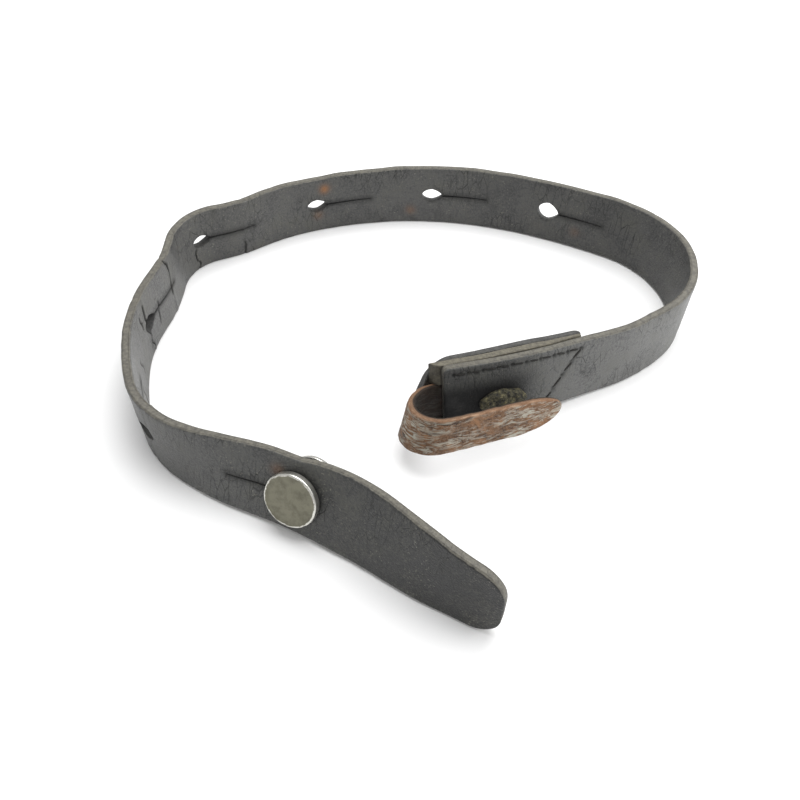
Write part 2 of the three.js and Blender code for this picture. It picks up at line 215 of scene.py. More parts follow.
# %% The chain of one half section
corner_points, edge_points = 4, 3
quarter = np.linspace(0, np.pi / 2, corner_points + 1)[1:]
seam_share = 0.815
flat_share = np.unique(np.concatenate([np.linspace(0, 1, 12), seam_share + 0.035 * np.arange(-2, 3)]))
face_points = len(flat_share)
side_share = np.linspace(1, -1, edge_points + 2)[1:-1]
chain_flat = np.concatenate([flat_share, np.ones(2 * corner_points + edge_points), flat_share[::-1]])
chain_rise = np.concatenate([
    np.zeros(face_points), np.sin(quarter), np.ones(edge_points), np.sin(quarter)[::-1],
    np.zeros(face_points)])
chain_side = np.concatenate([
    np.ones(face_points + corner_points), side_share, -np.ones(face_points + corner_points)])
chain_out = np.concatenate([
    np.ones(face_points), np.cos(quarter), np.zeros(edge_points), -np.cos(quarter)[::-1],
    -np.ones(face_points)])
print("points on each half section:", len(chain_flat))


def strip_half(s, inner, outer, middle, half, corner, toward):
    """Heights and offsets of one half: a flat run from inner to outer, a quarter round of the corner
    radius, the edge, and the same back again. toward is -1 for the lower half and 1 for the upper."""
    reach = np.maximum(np.abs(outer - inner), 1e-6)
    corner = np.minimum(np.minimum(corner, half * 0.98), reach * 0.5)[:, None]
    height = inner[:, None] + toward * ((reach[:, None] - corner) * chain_flat + corner * chain_rise)
    offset = middle[:, None] + (half[:, None] - corner) * chain_side + corner * chain_out
    return height, offset


# %% A whole strip
def strip(name, s, low, high, front, back, corner, put=place, split=None, opening=None, relief=None,
          marks=None, **facts):
    """Both halves as grids, the walls of the opening where it is wider than nothing, and the two ends."""
    middle, half = (front + back) / 2, (front - back) / 2
    split = (low + high) / 2 if split is None else split
    opening = np.zeros_like(s) if opening is None else opening
    count = len(chain_flat)
    halves, shares = [], []
    for toward, inner, outer in ((-1, split - opening, low), (1, split + opening, high)):
        height, offset = strip_half(s, inner, outer, middle, half, corner, toward)
        along = np.broadcast_to(s[:, None], height.shape)
        side = np.broadcast_to(chain_side * (chain_rise < 1), height.shape)
        if relief is not None:
            offset = offset + relief(along, height, side)
        halves.append(put(along, offset, height))
        to_edge = np.abs(outer[:, None] - height)
        to_end = np.minimum(along - s[0], s[-1] - along)
        edge = 0.7 * np.clip(1 - np.minimum(to_edge, to_end) / (0.9 * mm), 0, 1)
        shares.append(np.stack([along, height, side], axis=-1).reshape(-1, 3))
        shares.append(np.maximum(edge, chain_rise + 0 * edge).ravel())
    grid = grid_faces(len(s), count)
    size = len(s) * count
    column = np.flatnonzero((opening[:-1] > 0) | (opening[1:] > 0)) * count
    wall = np.stack([column, column + count, column + 2 * count - 1, column + count - 1], axis=-1)
    pair = np.arange(count // 2)
    cap = np.stack([pair, pair + 1, count - 2 - pair, count - 1 - pair], axis=-1)
    caps = np.concatenate([cap, cap + size - count])
    one = np.concatenate([grid, wall, caps])
    faces = np.concatenate([one, one + size])
    lie = np.concatenate(shares[0::2])
    attributes = {"lie": lie, "edge": np.concatenate(shares[1::2])}
    for key, function in (marks or {}).items():
        attributes[key] = function(*lie.T)
    points = np.concatenate([half.reshape(-1, 3) for half in halves])
    return make_piece(name, points, faces, attributes, **facts)


# %% [markdown]
# ## The strap
# The keyholes are punched by hand: an oval hole, and a slit that tapers away from it towards the
# hook. Stations crowd together round each hole, on the cosine of an angle, so that its rim is round.
# Old leather is never flat, so slow waves, a crease at every hard bend, sunk stitches and cracks at
# the strained keyholes are moved into the mesh itself.

# %% Stations and keyholes
hole_stations = np.array([161, 204, 247, 292, 336, 381, 430]) * mm
hole_heights = np.array([7, 5.2, 5, 4.4, 5.2, 5.2, 5.2]) * mm
hole_length = 7.6 * mm
slit_length = 20 * mm
slit_mouth, slit_end = 0.7 * mm, 0.3 * mm
tip_corner, root_corner = 7.5 * mm, 1.6 * mm
tail_swell = 3.3 * mm


def half_opening(s):
    """Half the gap at the middle line: the larger of the hole's and the slit's. The hole is an
    ellipse that narrows a little towards its slit, like a drop."""
    gap = np.zeros_like(s)
    for hole, tall in zip(hole_stations, hole_heights):
        share = (s - hole) / (hole_length / 2)
        chord = tall / 2 * np.sqrt(np.maximum(1 - share ** 2, 0)) * (1 + 0.35 * np.minimum(share, 0))
        slit_start = hole - slit_length
        slit = (slit_end + (slit_mouth - slit_end) * ease(s, slit_start, hole)) / 2
        slit = slit * ease(s, slit_start - 0.3 * mm, slit_start + 0.3 * mm) * (s < hole)
        gap = np.maximum(gap, np.maximum(chord, slit))
    return gap


round_steps = -np.cos(np.linspace(0, np.pi, 31))
rims = (hole_stations[:, None] + hole_length / 2 * round_steps).ravel()
crack_list = [(295, 0, 9, 0.5), (318, 8, 22, 0.7), (329, 5, 13, 0.5), (338, 0, 19, 0.9), (341, 13, 18, 0.6),
              (277, 0, 6, 0.5), (305, 13, 21, 0.3), (353, 5, 11, 0.3), (362, 0, 9, 0.3), (371, 12, 17, 0.2)]
crack_places = np.array([crack[0] for crack in crack_list])
crack_steps = (crack_places[:, None] + np.arange(-2, 2.01, 0.14)).ravel() * mm
slit_starts = (hole_stations[:, None] - slit_length + np.array([-0.3, -0.15, 0, 0.15, 0.3]) * mm).ravel()
tips = tip_corner * (1 - np.cos(np.linspace(0, np.pi / 2, 12)))
roots = root_corner * (1 - np.cos(np.linspace(0, np.pi / 2, 6)))
stations = np.unique(np.round(np.concatenate([
    np.arange(0, 50 * mm, 0.42 * mm), np.arange(50 * mm, strap_length, 0.9 * mm), rims, slit_starts,
    crack_steps, roots, strap_length - tips, [strap_length]]), 7))
print("stations along the strap:", len(stations))


def corner_inset(distance, radius):
    """How far a round corner draws the edge in: the radius less the height of its quarter circle."""
    inside = np.clip(radius - distance, 0, radius)
    return radius - np.sqrt(radius ** 2 - inside ** 2)


# %% The seam's line
seam_inset = 2.6 * mm
shank_length = 30 * mm
seam_corners = np.array([
    (3 * mm, strap_width - seam_inset), (43 * mm, strap_width - seam_inset),
    (shank_length + 1.8 * mm, seam_inset), (3 * mm, seam_inset)])
stitch_pitch = 4.6 * mm


def seam_line():
    """Even steps along each side of the seam, about a stitch long."""
    points = [seam_corners[:1]]
    for a, b in zip(seam_corners[:-1], seam_corners[1:]):
        count = max(1, round(float(np.linalg.norm(b - a)) / stitch_pitch))
        points.append(a + (b - a) * (np.arange(1, count + 1) / count)[:, None])
    return np.concatenate(points)


seam = seam_line()
print("stitch holes:", len(seam))

# %% The leather's relief
crease_list = [
    (70, 0.1), (99, 0.16), (126, 0.12), (263, 0.12), (276, 0.18), (318, 0.22), (338, 0.16), (383, 0.16)]


def near_seam(s, height):
    """1 at a stitch hole and falling away within a millimetre, with a shallow groove between holes."""
    pits = np.zeros_like(s)
    for a in seam:
        pits = np.maximum(pits, np.exp(-((s - a[0]) ** 2 + (height - a[1]) ** 2) / (0.75 * mm) ** 2))
    for a, b in zip(seam[:-1], seam[1:]):
        run = b - a
        share = np.clip(((s - a[0]) * run[0] + (height - a[1]) * run[1]) / run.dot(run), 0, 1)
        away = (s - a[0] - share * run[0]) ** 2 + (height - a[1] - share * run[1]) ** 2
        pits = np.maximum(pits, 0.45 * np.exp(-away / (0.6 * mm) ** 2))
    return pits


def near_crack(s, height, at, low, high, spread):
    """1 along one crack, from its low end to its high end, and falling away over the spread. The crack
    wanders about its place on the strap."""
    inside = ease(height, low * mm - mm, low * mm + mm)
    inside = inside * (1 - ease(height, high * mm - mm, high * mm + mm))
    wander = s - at * mm + 1.1 * mm * lumps(0 * s + at * mm, height, 2.4 * mm, at)
    return inside * np.exp(-(wander / spread) ** 2)


def near_slit(s, height, hole, spread):
    """1 along one keyhole's slit, and falling away over the spread."""
    reach = np.maximum(np.abs(s - hole + slit_length / 2) - slit_length / 2, 0)
    return np.exp(-(reach ** 2 + (height - strap_width / 2) ** 2) / spread ** 2)


def strap_relief(s, height, side):
    """Slow waves, fine crumples, creases across the strap, a lip round each keyhole, and the seam."""
    move = 0.10 * lumps(s, height, 9 * mm, 1) + 0.05 * lumps(s, height, 2.6 * mm, 2)
    for at, depth in crease_list:
        wander = s + 1.2 * mm * lumps(s * 0 + at * mm, height, 5 * mm, at)
        move = move - depth * np.exp(-((wander - at * mm) / (0.8 * mm)) ** 2) * (side != 0)
    dragged = np.zeros_like(s)
    for hole in hole_stations:
        dragged = np.maximum(dragged, near_slit(s, height, hole, 2.6 * mm))
    move = move + 0.16 * dragged * side
    for at, low, high, depth in crack_list:
        move = move + depth * near_crack(s, height, at, low, high, 0.28 * mm) * (side < 0)
    front = (side > 0) & (s < 50 * mm)
    move = move - 0.55 * np.where(front, near_seam(s, height), 0)
    return move * mm


# %% Dirt, and painted shade in the hook's mouth
rivet_station = 17.5 * mm


def strap_dirt_and_painted_shade(s, height, side):
    """Near black in the hook's mouth, which is painted shade, a dark patch round the rivet, dirt along the
    seam and in the cracks, and darker along each slit, from 0 to 1.
    """
    # painted shade: the front face inside the hook's mouth, shaded by the hook and plies, is painted near
    # black
    mouth = (1 - ease(s, 17 * mm, 33 * mm)) * (1 - ease(height, 12 * mm, 19 * mm)) * (side > 0)
    away = (s - rivet_station) ** 2 / 2.2 + (height - 8 * mm) ** 2
    rivet = np.exp(-away / (6 * mm) ** 2) * (side > 0)
    seamed = 0.85 * near_seam(s, height) * (s < 50 * mm)
    packed = np.maximum(np.maximum(mouth, rivet), seamed)
    for at, low, high, depth in crack_list:
        crack = min(1, depth * 1.6) * near_crack(s, height, at, low, high, 0.4 * mm)
        packed = np.maximum(packed, crack * (side < 0))
    for hole in hole_stations:
        packed = np.maximum(packed, 0.6 * near_slit(s, height, hole, 1.4 * mm))
    return np.clip(packed, 0, 1)


# %% How pale the leather looks, partly wear and partly painted light, and its stains
def strap_wear_and_painted_light(s, height, side):
    """How pale the leather looks, as a share of its palest: greyer behind the hook and at the crumpled end,
    and nearly black at the tip. This is partly the leather's own wear and partly painted light: painted
    sheen on the faces turned to the light, and painted shade towards the tip."""
    # partly real wear, partly painted light: painted sheen on the outer face behind the hook and on the
    # crumpled end, painted shade towards the tip
    front = np.interp(s / mm, [0, 20, 45, 110, 200, 380, 410, 440, 470, 491],
                      [0.36, 0.38, 0.86, 0.95, 0.5, 0.55, 0.5, 0.3, 0.09, 0.0])
    back = np.interp(s / mm, [0, 100, 250, 300, 330, 370, 420, 491],
                     [0.38, 0.38, 0.43, 0.5, 0.75, 0.75, 0.4, 0.2])
    share = np.where(side < 0, back, front)
    return np.clip(share * (1 + 0.12 * lumps(s, height, 14 * mm, 40)), 0, 1)


stain_list = [
    (244, 17.5, -1, 1.0), (212, 5, -1, 0.35), (247, 7, -1, 0.3), (424, 17, 1, 0.35), (150, 6, -1, 0.2)]


def strap_stain(s, height, side):
    """Small rust stains, each a round bloom about three millimetres across."""
    bloom = np.zeros_like(s)
    for at, up, face, strength in stain_list:
        away = (s - at * mm) ** 2 + (height - up * mm) ** 2
        bloom = np.maximum(bloom, strength * np.exp(-away / (1.7 * mm) ** 2) * (side * face > 0))
    return bloom


# %% Make the strap
def strap_top(s):
    """The strap's width, with the tail a little wider half way between the stud and the tip."""
    tail = strap_length - hole_stations[-1]
    middle = (hole_stations[-1] + strap_length) / 2
    return strap_width + tail_swell * np.maximum(0, 1 - (2 * (s - middle) / tail) ** 2)


inset = corner_inset(stations, root_corner) + corner_inset(strap_length - stations, tip_corner)
wavy = 0.18 * mm * (1 + lumps(stations, 0 * stations, 7 * mm, 3)) * (stations > 4 * mm)
end_round = np.minimum(stations, strap_length - stations)
to_full = np.clip(end_round / (0.9 * mm), 0, 1)
half_thick = strap_thickness / 2 * (0.72 + 0.28 * np.sqrt(1 - (1 - to_full) ** 2))
strap = strip(
    "strap_leather", stations, inset, strap_top(stations) - inset - wavy, half_thick, -half_thick,
    0.7 * mm, split=np.full_like(stations, strap_width / 2), opening=half_opening(stations),
    relief=strap_relief, marks={"dirt_and_shade": strap_dirt_and_painted_shade, "tone": strap_wear_and_painted_light, "stain": strap_stain},
    replaces=["strap"], slot="strap_leather")

# %% [markdown]
# ## The plies behind the strap
# At the hook end a filler of leather fills the space round the hook's shank, and thins out where the
# shank ends. Behind it a shorter lining is sewn on, and its end wraps a little way round the hook's
# bend. Both are strips like the strap, but the lining is carried round the bend by its own function.

# %% The filler
strap_back = -strap_thickness / 2
snug = 0.06 * mm
shank_front = strap_back - clearance
filler_front = strap_back - snug
filler_end = lining_length - 0.6 * mm
skive_length, thin_end = 17 * mm, 1.1 * mm
hook_width, hook_height = 11 * mm, 9.5 * mm
hook_low = hook_height - hook_width / 2


def filler_back(s):
    """The filler's back face: as deep as the shank, and skived to the thin end's depth."""
    thin = ease(s, filler_end - skive_length, filler_end)
    deep = shank_front - hook_thickness
    return deep + (filler_front - thin_end - deep) * thin


def put_filler(s, offset, height):
    """The filler's end is cut at a slant: near the hook its back runs on, past the strap's end."""
    slant = 1.15 * (1 - ease(s, -3 * mm, 5 * mm))
    slanted = s + slant * (offset - filler_front)
    curl = np.maximum(-1.5 * mm - slanted, 0) ** 2 / (20 * mm)
    return place(slanted, offset + curl, height)


pocket_end = shank_length + clearance
filler_s = np.unique(np.concatenate([
    np.linspace(-0.8 * mm, filler_end, 60), [pocket_end - 0.02 * mm, pocket_end, pocket_end + 0.02 * mm]]))
filler = strip(
    "filler_leather", filler_s, 0.1 * mm + 0 * filler_s,
    strap_width - 0.12 * mm * (1 + lumps(filler_s, 0 * filler_s, 5 * mm, 4)),
    filler_front + 0 * filler_s, filler_back(filler_s), 0.3 * mm, put=put_filler,
    split=np.full_like(filler_s, hook_height),
    opening=np.where(filler_s < pocket_end, hook_width / 2 + clearance, 0),
    replaces=["filler_ply"], slot="filler_leather")

# %% The hook's middle line
mouth_width, mouth_at_tip = 15 * mm, 12 * mm
bend_start, bend_flare = 1.5 * mm, 3.5 * mm
tongue_past, tongue_round = 30 * mm, 12 * mm
shank_offset = shank_front - hook_thickness / 2
bend_radius = (mouth_width - shank_offset) / 2


def beside_hook(part, rise, out, height, shank_from):
    """Points beside the J: part 0 to 1 runs down the shank, 1 to 2 round a half circle and 2 to 3
    along the tongue. rise moves the bend's centre, so that its lower edge flares outwards."""
    part, rise, out, height = np.broadcast_arrays(part, rise, out, height)
    centre = -bend_start - bend_flare * (1 - np.clip(rise, 0, 1))
    angle = np.clip(part - 1, 0, 1) * np.pi
    run_s, run_o = tongue_past - centre, mouth_at_tip - mouth_width
    run = np.hypot(run_s, run_o)
    tongue = part > 2
    normal_s = np.where(tongue, -run_o / run, -np.sin(angle))
    normal_o = np.where(tongue, run_s / run, -np.cos(angle))
    s = np.where(part <= 1, shank_from + (centre - shank_from) * part, centre - bend_radius * np.sin(angle))
    offset = shank_offset + bend_radius - bend_radius * np.cos(angle)
    s = np.where(tongue, centre + run_s * (part - 2), s)
    offset = np.where(tongue, mouth_width + run_o * (part - 2), offset)
    return place(s + normal_s * out, offset + normal_o * out, height)


# %% The lining
lining_wrap, lining_corner = math.radians(20), 9.5 * mm
wrap_length = lining_wrap * (bend_radius + hook_thickness / 2)


def lining_depth(q):
    """The lining's thickness, which rounds off over the last two millimetres before its square end."""
    left = np.clip((lining_length - q) / (2.2 * mm), 0, 1)
    return lining_thickness * (0.45 + 0.55 * np.sqrt(1 - (1 - left) ** 2))


def put_lining(q, offset, height):
    """q is the distance from the bend's start, and below 0 it is measured round the bend."""
    part = np.where(q >= 0, 1 - q / lining_length, 1 - q / wrap_length * lining_wrap / np.pi)
    rise = (height - hook_low) / hook_width
    deep = shank_offset - filler_back(np.maximum(q, 0)) + snug
    return beside_hook(part, rise, deep + offset, height, lining_length)


lining_q = np.unique(np.concatenate([
    -wrap_length + lining_corner * (1 - np.cos(np.linspace(0, np.pi / 2, 14))),
    np.linspace(3 * mm, lining_length - 2 * mm, 46), lining_length - 2 * mm * np.linspace(0.8, 0, 6) ** 2]))
lining_inset = np.minimum(
    corner_inset(lining_q + wrap_length, lining_corner), strap_width / 2 - 2 * mm)


def lining_relief(q, height, side):
    """Slow waves, and the seam's groove on the outer side. Offsets grow outwards from the strap."""
    groove = np.where((side > 0) & (q > 1.5 * mm), near_seam(q, height), 0)
    return (0.07 * lumps(q, height, 6 * mm, 5) - 0.35 * groove) * mm


lining = strip(
    "lining_leather", lining_q, lining_inset,
    strap_width - lining_inset - 0.15 * mm * (1 + lumps(lining_q, 0 * lining_q, 6 * mm, 6)),
    lining_depth(lining_q), 0 * lining_q, 0.6 * mm, put=put_lining,
    relief=lining_relief, replaces=["lining_ply"], slot="lining_leather")

# %% [markdown]
# ## The hook
# The hook is a flat strip of forged steel, bent into a J. Rust has eaten into it, so its edges are
# uneven and its faces are pitted in streaks along their length. A ring of points with round corners
# is carried along the J, and the pits are moved into the mesh.

# %% Make the hook
ring_steps = 10


def rounded_ring(half_width, half_thick, corner):
    """A rectangle with round corners, as offsets across and out. It runs once round."""
    turn = np.linspace(0, np.pi / 2, 5)
    corner_across, corner_out = np.cos(turn), np.sin(turn)
    wide, thick = half_width - corner, half_thick - corner
    across = np.concatenate([
        wide + corner * corner_across, np.linspace(wide, -wide, ring_steps)[1:-1],
        -wide - corner * corner_across[::-1], -wide - corner * corner_across,
        np.linspace(-wide, wide, ring_steps)[1:-1], wide + corner * corner_across[::-1]])
    out = np.concatenate([
        thick + corner * corner_out, np.full(ring_steps - 2, half_thick),
        thick + corner * corner_out[::-1], -thick - corner * corner_out,
        np.full(ring_steps - 2, -half_thick), -thick - corner * corner_out[::-1]])
    return across, out


def hook_surface():
    """The ring at stations along the J. Near the tip its width follows an ellipse, down to a sliver."""
    ring_across, ring_out = rounded_ring(hook_width / 2, hook_thickness / 2, 0.55 * mm)
    tip = 3 - tongue_round / tongue_past * (1 - np.sin(np.linspace(0, np.pi / 2, 16)))
    tip[-1] = 3 - 1e-4
    part = np.concatenate([
        np.linspace(0, 1, 34)[:-1], np.linspace(1, 2, 50)[:-1], np.linspace(2, tip[0], 26)[:-1], tip])
    left = (3 - part) * tongue_past / tongue_round
    width = np.sqrt(np.maximum(1 - np.clip(1 - left, 0, 1) ** 2, 1e-5))
    across = ring_across[None, :] * width[:, None]
    thin = 0.55 + 0.45 * np.sqrt(np.maximum(1 - np.clip(1 - left * 3, 0, 1) ** 2, 0))
    out = ring_out[None, :] * thin[:, None]
    height = hook_height + across + 0.1 * (1 - width[:, None]) * hook_width
    along = np.broadcast_to(part[:, None], across.shape)
    distance = np.interp(along, [0, 1, 2, 3], [0, 30, 58, 91]) * mm
    pits = 0.09 * lumps(distance, across, 3.1 * mm, 7) + 0.06 * lumps(distance, across * 3, 1.3 * mm, 8)
    grooves = 0.10 * np.clip(lumps(distance * 0.18, across, 0.9 * mm, 9), 0, 1)
    seen = np.clip((along - 0.97) * 12, 0, 1)
    out = out - np.sign(out) * (pits + grooves + 0.06) * mm * seen
    at_edge = np.abs(across) > 4.6 * mm
    edge_bite = 0.16 * mm * lumps(distance, 0 * distance + np.sign(across), 1.9 * mm, 10) * at_edge
    rise = (height - hook_low) / hook_width
    points = beside_hook(along, rise, out, height + edge_bite * seen, shank_length)
    lie = np.stack([distance, across, np.sign(out)], axis=-1)
    edge = np.clip((np.abs(across) / (hook_width / 2 * width[:, None]) - 0.86) / 0.14, 0, 1)
    return points, lie, edge


hook_points, hook_lie, hook_edge = hook_surface()
rows, ring = hook_points.shape[:2]
ends = np.array([np.arange(ring), (rows - 1) * ring + np.arange(ring)])
hook_faces = grid_faces(rows, ring, wrap=True)
padded = np.full((len(hook_faces) + 2, ring), -1)
padded[:len(hook_faces), :4] = hook_faces
padded[len(hook_faces):] = ends
hook = make_piece("steel_hook", hook_points, padded,
                  {"lie": hook_lie.reshape(-1, 3), "edge": hook_edge.ravel()},
                  replaces=["hook"], slot="rusty_steel")

# %% [markdown]
# ## The thread
# A saddle stitch dives through all the plies and comes up again at every hole, so it shows as
# a row of dashes on each face. Each dash is a thin lens that sinks at both ends into its holes. Two
# needles work from both sides, so every gap is filled on both faces.

# %% Make the stitches
thread_width = 0.7 * mm
stitch_rows, stitch_ring = 13, 10


def stitch_surface(a, b, offset_at, outward, put, seed):
    """A tube from hole a to hole b: its radius follows the fourth root of the distance to the ends,
    and its middle rises from inside the leather and lies flat between the holes."""
    share = np.linspace(0, 1, stitch_rows)[:, None]
    turn = np.linspace(0, 2 * np.pi, stitch_ring, endpoint=False)[None, :]
    run = (b - a) / np.linalg.norm(b - a)
    rim = 1 - (2 * share - 1) ** 2
    radius = thread_width / 2 * np.maximum(rim, 1e-4) ** 0.25
    radius = radius * (1 + 0.18 * lumps(share * 9, 0 * share, 1, seed))
    twist = 0.06 * mm * np.sin(share * 34 + turn)
    wide = (radius + twist * rim) * np.cos(turn)
    tall = 0.62 * (radius + twist * rim) * np.sin(turn)
    at = a + (b - a) * share
    lift = 0.25 * mm * rim ** 0.3 - 0.42 * mm
    s = at[:, :1] - run[1] * wide
    height = at[:, 1:] + run[0] * wide
    return put(s, offset_at(s) + outward * (lift + tall), height)


def front_face(s):
    """The strap's outer face."""
    return strap_thickness / 2 + 0 * s


def put_on_lining(s, offset, height):
    """The lining's outer face, from a distance along the strap instead of from the bend."""
    s = np.maximum(s, 0.5 * mm)
    return put_lining(s, lining_depth(s) - offset, height)


def stitch_set():
    """Every gap, on the front and on the lining. Each stitch slants a little, as a pulled thread does,
    stops short of its neighbour, and is worn to a different length."""
    surfaces = []
    worn = np.random.default_rng(30).uniform(0.04, 0.24, (len(seam), 2))
    slant = np.random.default_rng(31).uniform(0.15, 0.42, len(seam)) * mm
    for i in range(1, len(seam)):
        a, b = seam[i - 1], seam[i]
        run = (b - a) / np.linalg.norm(b - a)
        side = np.array([-run[1], run[0]]) * slant[i]
        a, b = a + (b - a) * worn[i, 0] + side, b - (b - a) * worn[i, 1] - side
        surfaces.append(stitch_surface(a, b, front_face, 1, place, 20 + i))
        surfaces.append(stitch_surface(a, b, lambda s: 0 * s, -1, put_on_lining, 60 + i))
    return np.stack(surfaces)


stitches = stitch_set()
tube = grid_faces(stitch_rows, stitch_ring, wrap=True)
tube_ends = np.array([np.arange(stitch_ring), (stitch_rows - 1) * stitch_ring + np.arange(stitch_ring)])
dash = np.full((len(tube) + 2, stitch_ring), -1)
dash[:len(tube), :4] = tube
dash[len(tube):] = tube_ends
shift = np.arange(len(stitches))[:, None, None] * stitch_rows * stitch_ring
dashes = np.where(dash[None] < 0, -1, dash[None] + shift).reshape(-1, stitch_ring)
stitching = make_piece("sewn_thread", stitches, dashes, replaces=["stitching"], slot="waxed_thread",
                       merge=1e-8)

# %% [markdown]
# ## The rivet
# The rivet's head was hammered flat and has corroded into a rough lump, so it is a dome whose radius
# wanders. Its shaft runs through the plies, and its tail is closed over a thin washer. All three are
# profiles turned about an axis that stands square to the leather.

# %% Turn a profile about an axis on the strap
def turned(profile, s, height, base, steps=64, stretch=(1, 1), rough=None):
    """A profile of radius and offset, carried once round. rough(angle, radius, offset) moves it."""
    profile = np.asarray(profile, dtype=float)
    turn = np.linspace(0, 2 * np.pi, steps, endpoint=False)[None, :]
    radius = np.maximum(profile[:, :1], 1e-6)
    offset = profile[:, 1:] + 0 * turn
    if rough is not None:
        grow, lift = rough(turn, radius + 0 * turn, offset)
        radius, offset = radius * (1 + grow), offset + lift
    origin = place(s, base, height)
    along = place(s + mm, base, height) - place(s - mm, base, height)
    up = place(s, base, height + mm) - origin
    out = place(s, base + mm, height) - origin
    along, up, out = (v / np.linalg.norm(v) for v in (along, up, out))
    across = radius * np.cos(turn) * stretch[0]
    rise = radius * np.sin(turn) * stretch[1]
    return origin + across[..., None] * along + rise[..., None] * up + offset[..., None] * out


def turned_faces(rows, steps, closed):
    """Quads round the profile. An open profile starts and ends on the axis, so its ends are filled."""
    quads = grid_faces(rows, steps, wrap=True)
    if closed:
        index = (rows - 1) * steps + np.arange(steps)
        first = np.arange(steps)
        seam_quads = np.stack([index, first, np.roll(first, -1), np.roll(index, -1)], axis=-1)
        return np.concatenate([quads, seam_quads])
    filled = np.full((len(quads) + 2, steps), -1)
    filled[:len(quads), :4] = quads
    filled[len(quads):] = [np.arange(steps), (rows - 1) * steps + np.arange(steps)]
    return filled


# %% Make the rivet and its washer
rivet_height, rivet_radius = 7.8 * mm, 1.9 * mm
head_length, head_width, head_rise = 7.3 * mm, 4.4 * mm, 2.2 * mm
burr_radius, burr_thickness = 4.8 * mm, 1 * mm
plies_back = filler_back(rivet_station) - snug - lining_thickness


def head_profile():
    """A quarter of a flattened ellipse, from the axis at the top to the leather."""
    angle = np.linspace(0, np.pi / 2, 40)
    return np.stack([np.sin(angle) ** 0.9, np.cos(angle) ** 0.55 * head_rise], axis=-1)


def crusted(turn, radius, offset):
    """Coarse lumps that grow towards the rim, with fine grains over them."""
    x, y = radius * np.cos(turn), radius * np.sin(turn)
    coarse = lumps(x * 8, y * 8, 2.6, 11)
    grains = lumps(x * 8, y * 8, 0.62, 12)
    grow = 0.07 * lumps(turn * 2, 0 * turn, 0.8, 13) * ease(radius, 0.4, 1)
    return grow, (0.26 * coarse + 0.16 * grains) * mm * (1 - radius ** 6)


head_grid = turned(head_profile(), rivet_station, rivet_height, strap_thickness / 2 + clearance,
                   steps=96, stretch=(head_length, head_width), rough=crusted)
head = make_piece("rivet_head", head_grid, turned_faces(40, 96, False), replaces=["hook_rivet"],
                  slot="corroded_rivet")
tail_base = plies_back - clearance - burr_thickness
shaft_profile = np.array([
    (0, -1.0), (1.6, -1.0), (2.5, -0.7), (2.85, -0.2), (2.6, 0), (1.9, 0), (1.9, 0.1)]) * mm
shaft_top = strap_thickness / 2 + 0.1 * mm - (tail_base - clearance)
shaft_profile = np.concatenate([shaft_profile, [(rivet_radius, shaft_top), (0, shaft_top)]])
shaft = make_piece("rivet_shaft", turned(shaft_profile, rivet_station, rivet_height, tail_base - clearance),
                   turned_faces(len(shaft_profile), 64, False), slot="corroded_rivet")
inner = rivet_radius + clearance
burr_profile = np.array([
    (inner, 0.15 * mm), (inner + 0.2 * mm, 0), (burr_radius - 0.3 * mm, 0), (burr_radius, 0.3 * mm),
    (burr_radius, burr_thickness), (inner, burr_thickness)])
burr = make_piece("rivet_washer", turned(burr_profile, rivet_station, rivet_height, tail_base),
                  turned_faces(len(burr_profile), 64, True), replaces=["rivet_burr"], slot="corroded_rivet")

# %% [markdown]
# ## The stud
# The stud is two turned heads on one neck. The front head is a plate with a thin pressed cap, whose
# rim is rolled over and worn bright. It turns freely with its hollow neck on the back head's pin.
# Each is one profile, close to the frame's solids but with true round edges and a few dents.

# %% The stud's profiles
stud_radius = 7.8 * mm
stud_rest, stud_length = 0.9 * mm, 13.3 * mm
neck_radius, bore_radius = 2 * mm, 1.25 * mm
lip, plate, cap_wall, dish = 0.4 * mm, 0.6 * mm, 0.4 * mm, 0.2 * mm
plate_bottom = stud_rest + lip + clearance
plate_top = plate_bottom + plate
face_height = plate_top + clearance + cap_wall + dish
back_outer = face_height - stud_length
back_inner = back_outer + 1.5 * mm


def arc_profile(centre, radius, start, end, count=9):
    """Points round an arc, with its angles in degrees from the outward direction."""
    angle = np.radians(np.linspace(start, end, count))
    return np.stack([centre[0] + radius * np.cos(angle), centre[1] + radius * np.sin(angle)], axis=-1)


r = stud_radius
cap_profile = np.concatenate([
    [(0, plate_top + clearance), (r - cap_wall, plate_top + clearance), (r - cap_wall, stud_rest + lip)],
    [(r - 2.6 * mm, stud_rest + lip), (r - 2.6 * mm, stud_rest)],
    arc_profile((r - 0.45 * mm, stud_rest + 0.45 * mm), 0.45 * mm, -90, 0),
    arc_profile((r - 0.5 * mm, face_height - 0.5 * mm), 0.5 * mm, 0, 90),
    [(r - 0.65 * mm, face_height - 0.03 * mm), (r - 0.8 * mm, face_height - 0.13 * mm)],
    [(r - 1.0 * mm, face_height - dish)],
    np.stack([np.linspace(r - 1.6 * mm, 0, 16), np.full(16, face_height - dish)], axis=-1)])
base_profile = np.concatenate([
    [(bore_radius, back_inner + clearance)],
    arc_profile((neck_radius - 0.2 * mm, back_inner + clearance + 0.2 * mm), 0.2 * mm, -90, 0, 4),
    arc_profile((neck_radius + 0.4 * mm, plate_bottom - 0.4 * mm), 0.4 * mm, 180, 90, 5),
    [(r - cap_wall - clearance, plate_bottom), (r - cap_wall - clearance, plate_top)],
    [(bore_radius, plate_top)]])
back_r = r - 0.2 * mm
pin_radius = bore_radius - clearance
